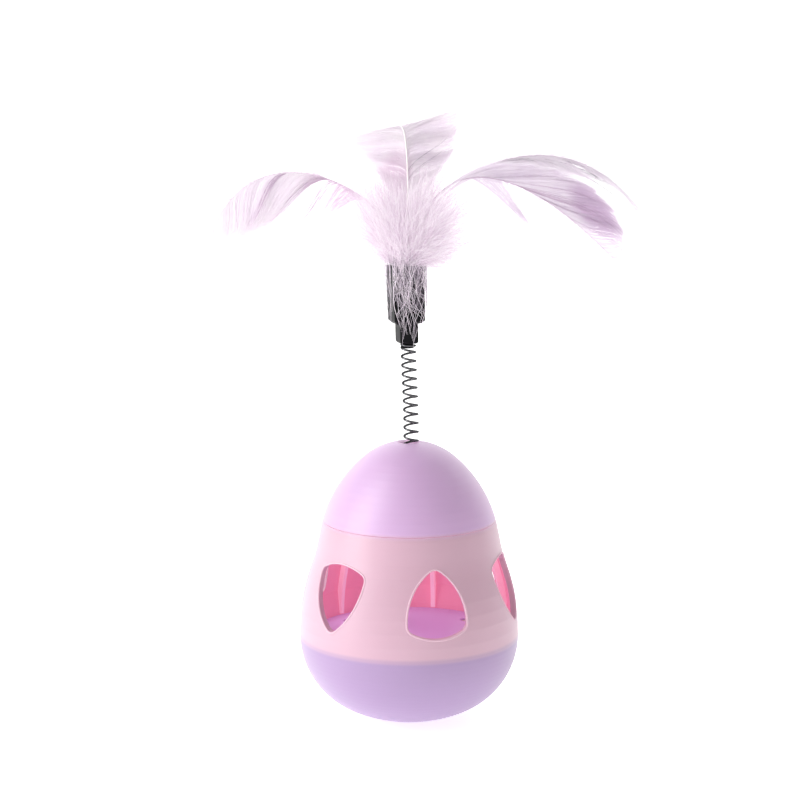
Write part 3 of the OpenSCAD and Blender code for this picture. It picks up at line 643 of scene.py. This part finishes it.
def fringe(curve, start, end, toward, length, lean, count, width, rng):
    """Short close barbs along one side of the shaft, leaning by lean degrees towards the feather's tip."""
    layers, lean_scatter, curl = 0.2, 0.06, 0.25
    t = np.sort(rng.uniform(start, end, count))
    foot = bezier(curve, t)
    way = bezier_way(curve, t)
    side = np.array(toward, float)
    side = unit(side - (way @ side)[:, None] * way)
    angle = math.radians(lean) + rng.normal(0, lean_scatter, count)
    s = np.linspace(0, 1, FRINGE_STEPS)
    turn = angle[:, None] + curl * s[None, :]
    direction = side[:, None] * np.cos(turn)[..., None] + way[:, None] * np.sin(turn)[..., None]
    full = length * smooth(t, start, start + 0.12) * (1 - 0.75 * smooth(t, end - 0.25, end + 0.02))
    full = full * rng.uniform(0.75, 1.05, count)
    line = walk(foot, direction, (full / (FRINGE_STEPS - 1))[:, None, None])
    out = unit(np.cross(way, side))
    line = line + out[:, None] * rng.normal(0, layers, (count, 1, 1)) * s[None, :, None]
    wide = width * (1 - 0.7 * s[None, :] ** 2) * rng.uniform(0.6, 1.2, (count, 1))
    normal = unit(out[:, None] + rng.normal(0, BARB_TWIST, (count, 1, 3)) + 0 * s[None, :, None])
    return ribbons(line, wide, normal)


def feather(name, node, quill, guides, groups, fringes, materials, seed, thick):
    """One feather. guides are the shaft's three points after its root, as a cubic curve, in mm.
    A group is rows of sheet's values from start to width, and fringes are rows of fringe's.
    materials are the shaft's and then one for each group; fringes take the first group's."""
    root_r, finest = 0.6, 0.05
    rng = np.random.default_rng(seed)
    root = head_point([*quill, SOCKET_TOP])
    foot = head_point([*quill, QUILL_FOOT])
    curve = [root] + [np.array(g, float) for g in guides]
    shaft_t = np.linspace(0.0, 1.0, 70)
    radius = np.concatenate([[root_r], root_r - (root_r - thick) * smooth(shaft_t, 0, 0.2)])
    radius[1:] *= 1 - 0.86 * shaft_t**0.8
    parts = [tube(np.vstack([foot[None], bezier(curve, shaft_t)]), np.maximum(radius, finest))]
    index = [0]
    for group, sheets in enumerate(groups):
        for values in sheets:
            parts.append(sheet(curve, *values, rng))
            index.append(group + 1)
    for values in fringes:
        parts.append(fringe(curve, *values, rng))
        index.append(1)
    piece = mesh_object(name, parts, materials, index)
    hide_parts(node)
    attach(piece, "feather_head")


LEFT_PATCH = (-22, -2, 194), (17, 30, 10), 0, (0.82, 0.68, 0.80)
RIGHT_PATCH = (65, -4, 186), (14, 30, 6), 50, (0.78, 0.66, 0.79)
BACK_PATCH = (-6, 10, 196), (7, 30, 13), 20, (0.88, 0.78, 0.86)
LEFT_DYE = (0.97, 0.93, 0.96), (0.94, 0.88, 0.94)
RIGHT_DYE = (0.93, 0.88, 0.93), (0.87, 0.80, 0.88)
REAR_DYE = (0.94, 0.91, 0.94), (0.90, 0.85, 0.90)
BACK_DYE = (0.96, 0.92, 0.95), (0.91, 0.85, 0.91)
# The number after each scale is the strength of the vane's painted glow
left_vane = plume_material("feather_left", *LEFT_DYE, 60.0, 0.09, patch=LEFT_PATCH)
right_vane = plume_material("feather_right", *RIGHT_DYE, 80.0, 0.07, patch=RIGHT_PATCH)
rear_vane = plume_material("feather_rear", *REAR_DYE, 110.0, 0.12)
back_vane = plume_material("feather_back", *BACK_DYE, 110.0, 0.06, patch=BACK_PATCH)
mauve_barb = plume_material("feather_mauve", (0.66, 0.50, 0.64), (0.55, 0.42, 0.55), 60.0, 0.02, 0.3)
grey_barb = plume_material("feather_grey", (0.52, 0.48, 0.53), (0.40, 0.36, 0.41), 110.0, 0.02, 0.3)
shaft_pale = plastic("feather_shaft", (0.80, 0.68, 0.78), 0.45, 0.1)
# The white shaft carries a painted glow
shaft_white = plastic("feather_shaft_white", (0.97, 0.94, 0.90), 0.4, 0.1, ((1.0, 0.97, 0.93), 0.2))
shaft_mauve = plastic("feather_shaft_mauve", (0.62, 0.46, 0.60), 0.45, 0.1)

feather(
    "left_feather", "feather_left", (-1.7, -0.5), [(-4, 0, 196), (-56, -2, 217), (-70, -3, 178)],
    [[
        (0.32, 0.42, (-30.0, -5, 183.8), (-35.2, -5, 180.6), 0.10, 120, 0.09),
        (0.46, 0.64, (-51.8, -5, 180.3), (-57.5, -5, 177.3), 0.24, 420, 0.17),
        (0.58, 0.78, (-55.5, -5, 178.0), (-62.0, -5, 175.2), 0.24, 420, 0.18),
        (0.72, 0.92, (-60.5, -5, 175.5), (-67.0, -4, 174.9), 0.22, 420, 0.18),
        (0.86, 1.00, (-65.5, -4, 175.0), (-71.0, -3, 174.2), 0.20, 300, 0.17),
    ], [
        (0.425, 0.455, (-43.8, -5, 179.0), (-44.6, -5, 179.6), 0.16, 18, 0.12),
        (0.46, 0.50, (-51.6, -5, 180.2), (-52.6, -5, 179.8), 0.24, 26, 0.13),
        (0.62, 0.66, (-56.4, -6, 181.5), (-57.0, -6, 181.0), 0.24, 12, 0.12),
    ]],
    [(0.45, 1.0, (0, 0, 1), 3.6, 52, 520, 0.16), (0.16, 0.5, (0, 0, -1), 3.4, 40, 260, 0.12)],
    [shaft_pale, left_vane, mauve_barb], 7, 0.28,
)
feather(
    "right_feather", "feather_right", (2, -0.7), [(6, -1, 212), (40, -3, 203), (72, -4, 169)],
    [[
        (0.20, 0.36, (31.0, -3, 202.8), (45.0, -4, 202.0), 0.30, 300, 0.16),
        (0.30, 0.48, (42.0, -4, 202.3), (56.0, -5, 199.4), 0.30, 380, 0.17),
        (0.40, 0.60, (53.0, -5, 200.0), (67.0, -5, 192.8), 0.28, 440, 0.18),
        (0.52, 0.72, (64.5, -5, 194.0), (73.6, -5, 185.2), 0.26, 440, 0.18),
        (0.64, 0.84, (71.5, -5, 187.0), (76.6, -5, 177.0), 0.24, 400, 0.18),
        (0.78, 1.00, (75.5, -5, 179.5), (76.0, -5, 170.5), 0.20, 320, 0.16),
        (0.43, 0.57, (41.0, -5, 182.2), (43.8, -5, 179.4), 0.10, 150, 0.10),
    ], [
        (0.50, 0.55, (72.8, -6, 186.0), (73.4, -6, 185.0), 0.30, 8, 0.11),
        (0.58, 0.64, (76.6, -6, 178.5), (77.6, -6, 174.5), 0.28, 14, 0.11),
        (0.70, 0.74, (77.8, -6, 173.5), (78.0, -6, 171.5), 0.26, 9, 0.11),
        (0.80, 0.84, (76.5, -5, 169.5), (76.2, -5, 168.5), 0.22, 8, 0.10),
    ]],
    [(0.40, 0.98, (0, 0, -1), 2.4, 50, 420, 0.13), (0.12, 0.45, (0, 0, -1), 3.0, 35, 160, 0.10)],
    [shaft_mauve, right_vane, mauve_barb], 8, 0.3,
)
feather(
    "right_rear_feather", "feather_right_rear", (2.1, 1), [(4, 2.4, 204), (60, 14, 221), (82, 16, 185)],
    [[
        (0.26, 0.45, (38.0, 10, 200.6), (50.0, 11, 200.2), 0.28, 330, 0.15),
        (0.38, 0.58, (47.0, 12, 200.8), (61.0, 13, 197.0), 0.28, 330, 0.15),
        (0.50, 0.66, (58.0, 13, 199.0), (70.0, 14, 194.4), 0.28, 220, 0.14),
        (0.62, 0.80, (68.0, 15, 198.0), (79.0, 16, 190.4), 0.26, 170, 0.13),
        (0.74, 1.00, (76.0, 16, 193.0), (85.5, 17, 183.4), 0.24, 170, 0.13),
    ], [
        (0.52, 0.56, (82.6, 17, 187.0), (83.2, 17, 186.2), 0.30, 9, 0.13),
        (0.48, 0.52, (81.8, 17, 185.2), (82.6, 17, 184.2), 0.30, 7, 0.13),
        (0.60, 0.64, (84.2, 17, 186.0), (84.8, 17, 185.0), 0.28, 6, 0.11),
    ]],
    [(0.30, 1.0, (0, 0, 1), 2.6, 60, 480, 0.13)],
    [shaft_pale, rear_vane, grey_barb], 9, 0.24,
)
feather(
    "back_feather", "feather_back", (-0.9, 1.7), [(2, 4, 204), (-3, 12, 234), (-6, 54, 200)],
    [[
        (0.12, 0.28, (-8.0, 7, 195.0), (-13.0, 11, 200.5), 0.30, 260, 0.13),
        (0.22, 0.40, (-11.5, 10, 198.5), (-18.5, 15, 206.0), 0.26, 340, 0.14),
        (0.33, 0.52, (-16.5, 14, 204.0), (-23.6, 20, 210.4), 0.20, 400, 0.15),
        (0.48, 0.66, (-23.0, 20, 210.4), (-13.5, 23, 212.4), 0.16, 340, 0.15),
        (0.60, 0.72, (-15.0, 23, 212.0), (-4.5, 25, 214.6), 0.10, 220, 0.14),
        (0.68, 0.84, (-21.0, 30, 211.0), (-19.0, 44, 206.0), 0.20, 260, 0.15),
        (0.82, 1.00, (-19.0, 44, 206.0), (-12.0, 60, 199.0), 0.20, 240, 0.15),
        (0.12, 0.28, (8.0, 6, 194.0), (12.0, 10, 201.5), 0.30, 260, 0.13),
        (0.22, 0.38, (11.0, 9, 199.5), (16.6, 13, 207.0), 0.28, 340, 0.14),
        (0.32, 0.50, (15.5, 12, 205.0), (18.2, 18, 215.6), 0.26, 400, 0.15),
        (0.44, 0.60, (17.0, 16, 212.5), (20.0, 22, 222.4), 0.22, 380, 0.15),
        (0.54, 0.66, (18.5, 22, 221.4), (9.0, 24, 217.4), 0.14, 280, 0.15),
        (0.60, 0.72, (10.5, 24, 217.8), (-2.0, 25, 215.2), 0.08, 220, 0.14),
        (0.68, 0.84, (19.0, 30, 218.0), (17.0, 44, 212.0), 0.20, 260, 0.15),
        (0.82, 1.00, (17.0, 44, 212.0), (8.0, 60, 201.0), 0.20, 240, 0.15),
    ], [
        (0.30, 0.33, (13.5, 12, 211.5), (14.0, 12, 212.5), 0.22, 4, 0.09),
        (0.26, 0.29, (11.8, 10, 206.5), (12.4, 10, 207.0), 0.22, 4, 0.09),
    ]],
    [],
    [shaft_white, back_vane, grey_barb], 10, 0.34,
)

# Down

ANY_PHASE = 6.3
TOWARDS_CAMERA = (0, -1, 0.3)
# White down with a painted glow; lilac down darker, partly its own tint and partly painted shade
down_white = plume_material("down", (0.96, 0.92, 0.95), (0.92, 0.85, 0.91), 140.0, 0.10, 0.4)
down_lilac = plume_material("down_lilac", (0.86, 0.76, 0.84), (0.74, 0.62, 0.73), 140.0, 0.02, 0.35)


def ripple(low, high, count, s, rng):
    """A wave along each line, from any phase, whose pace is between low and high radians a line."""
    return np.sin(s * rng.uniform(low, high, (count, 1)) + rng.uniform(0, ANY_PHASE, (count, 1)))


def strands(azimuth, spread_angle, count, lean_reach, rng, width, twigs):
    """Fine curly barbs that rise from the socket's mouth, lean out and curl, each with some twigs.
    lean_reach is pairs of lean from upright in degrees and the greatest length there."""
    steps, twig_steps = 10, 3
    mouth_low, mouth_high, sink = 0.4, 3.8, 0.3
    stretch, bend_wave, twist_wave = 1.15, 0.24, 0.4
    leans, reaches = np.array(lean_reach, float).T
    s = np.linspace(0, 1, steps)[None, :]
    az = np.radians(azimuth + rng.normal(0, spread_angle / 2, count))[:, None]
    foot_r = rng.uniform(mouth_low, mouth_high, count)
    foot_z = np.full(count, SOCKET_TOP - sink)
    foot = np.stack([np.sin(az[:, 0]) * foot_r, -np.cos(az[:, 0]) * foot_r, foot_z], axis=1)
    degrees = leans[0] + (leans[-1] - leans[0]) * rng.beta(1.3, 1.9, count)
    length = (np.interp(degrees, leans, reaches) * rng.beta(2.6, 1.4, count) * stretch)[:, None]
    lean = np.radians(degrees)[:, None]
    bend = lean * (0.75 + 0.4 * s**1.3) + rng.normal(0, 0.14, (count, 1)) * s
    bend = bend + bend_wave * ripple(4, 12, count, s, rng)
    twist = az + rng.normal(0, 0.3, (count, 1)) * s
    twist = twist + twist_wave * ripple(4, 11, count, s, rng)
    way = np.stack([np.sin(bend) * np.sin(twist), -np.sin(bend) * np.cos(twist), np.cos(bend)], axis=-1)
    line = walk(foot, way, (length / (steps - 1))[..., None])
    wide = rng.uniform(*width, (count, 1)) * (1 - 0.65 * s)
    parts = [ribbons(head_point(line), wide, facing(TOWARDS_CAMERA, 0.6, count, s, rng))]
    many = count * twigs
    which = rng.integers(0, count, many)
    at = rng.uniform(1.5, steps - 1.01, many)
    low = at.astype(int)
    start = line[which, low] + (line[which, low + 1] - line[which, low]) * (at - low)[:, None]
    out = unit(way[which, low] * 0.8 + rng.normal(0, 0.7, (many, 3)))
    reach = rng.uniform(0.8, 3.4, many) * (1 - 0.5 * at / steps)
    s = np.linspace(0, 1, twig_steps)[None, :]
    twig = start[:, None] + out[:, None] * (reach[:, None] * s)[..., None]
    twig = twig + rng.normal(0, 0.2, (many, 1, 3)) * s[..., None] ** 2
    fine = rng.uniform(0.03, 0.07, (many, 1)) * (1 - 0.5 * s)
    parts.append(ribbons(head_point(twig), fine, facing(TOWARDS_CAMERA, 0.6, many, s, rng)))
    return parts


def down(name, node, azimuth, spread, count, lean_reach, seed):
    """One lock of down: white strands with a painted glow, half as many lilac ones and some short lilac ones
    inside, whose darker tint is partly the down's own and partly painted shade deep in the lock.
    """
    inner_share, coarse, fine = 0.62, (0.07, 0.18), (0.06, 0.15)
    rng = np.random.default_rng(seed)
    parts = strands(azimuth, spread, count, lean_reach, rng, coarse, 5)
    parts += strands(azimuth, spread, count // 2, lean_reach, rng, coarse, 4)
    inner = [(lean, reach * inner_share) for lean, reach in lean_reach]
    parts += strands(azimuth, spread, count // 4, inner, rng, fine, 3)
    piece = mesh_object(name, parts, [down_white, down_lilac], [0, 0, 1, 1, 1, 1])
    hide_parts(node)
    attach(piece, "feather_head")


LEFT_REACH = [(2, 31), (28, 36), (42, 36), (52, 30), (64, 21), (80, 12)]
FRONT_REACH = [(2, 30), (30, 32), (55, 26), (88, 16)]
RIGHT_REACH = [(5, 32), (40, 39), (55, 38), (70, 33), (88, 25), (116, 18)]
down("front_down", "tuft_front", 0, 62, 620, FRONT_REACH, 21)
down("front_left_down", "tuft_front_left", -72, 46, 780, LEFT_REACH, 22)
down("front_right_down", "tuft_front_right", 72, 52, 960, RIGHT_REACH, 23)
down("rear_left_down", "tuft_rear_left", -108, 46, 700, LEFT_REACH, 24)
down("rear_right_down", "tuft_rear_right", 108, 52, 800, RIGHT_REACH, 25)


def hanging(face, off, half, count, drop, curl, width, rng):
    """Loose barbs that come over the socket's edge and hang down one of its faces.
    face is 0 for the front and -1 or 1 for a side, off its place and half its half width."""
    steps, edge_room, narrowing = 22, 0.2, 0.45
    plug_starts, plug_ends = 21.5, 27
    s = np.linspace(0, 1, steps)[None, :]
    top = rng.uniform(-half, half, (count, 1))
    z = SOCKET_TOP + rng.uniform(1, 7, (count, 1)) - rng.uniform(*drop, (count, 1)) * s
    sweep = rng.normal(0.5, 0.6 * half * curl, (count, 1)) * s
    wave = curl * rng.uniform(0.4, 2.4, (count, 1)) * ripple(3, 9, count, s, rng)
    hook = curl * rng.normal(0.6, 3.6, (count, 1)) * smooth(s, 0.55, 1.0) ** 2
    gather = smooth(SOCKET_TOP - z, 12, 25)
    place = np.clip(top + sweep + wave + hook, -half - edge_room, half + edge_room) * (1 - narrowing * gather)
    lift = 0.2 + rng.uniform(0.0, 0.6, (count, 1)) + 0.4 * np.sin(np.pi * s) * rng.uniform(0, 1, (count, 1))
    lift = lift - 0.9 * smooth(SOCKET_TOP - z, plug_starts, plug_ends) + 0.8 * smooth(z - SOCKET_TOP, 0, 7)
    if face == 0:
        x, y = place, off - lift
    else:
        x, y = off + face * lift, place
    cos, sin = math.cos(BLOCK_TURN), math.sin(BLOCK_TURN)
    line = np.stack([x * cos - y * sin, x * sin + y * cos, z], axis=-1)
    wide = rng.uniform(*width, (count, 1)) * (1 - 0.5 * s)
    return ribbons(head_point(line), wide, facing((-0.3, -1, 0.1), 0.35, count, s, rng))


def holder_strands():
    """Curly pale barbs over a close short growth of darker ones, on the socket's front and sides."""
    rng = np.random.default_rng(31)
    half_x, half_y, over = 6.0, 5.1, 0.25
    parts, index = [], []
    for face, off, half, dark, pale in (
        (0, -half_y, half_x, 150, 64),
        (-1, -half_x, half_y, 16, 9),
        (1, half_x, half_y, 12, 6),
    ):
        outside = off + math.copysign(over, off)
        parts.append(hanging(face, off, half, dark, (6, 22), 0.5, (0.07, 0.14), rng))
        parts.append(hanging(face, outside, half, pale, (12, 31), 1.0, (0.10, 0.19), rng))
        index += [0, 1]
    strand_dark = plume_material("down_strand_dark", (0.50, 0.42, 0.50), (0.36, 0.30, 0.37), 200.0, 0.02, 0.2)
    # The pale strands carry a painted glow
    strand_pale = plume_material("down_strand", (0.94, 0.86, 0.92), (0.78, 0.68, 0.78), 200.0, 0.12, 0.2)
    piece = mesh_object("holder_strands", parts, [strand_dark, strand_pale], index)
    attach(piece, "feather_head")


holder_strands()
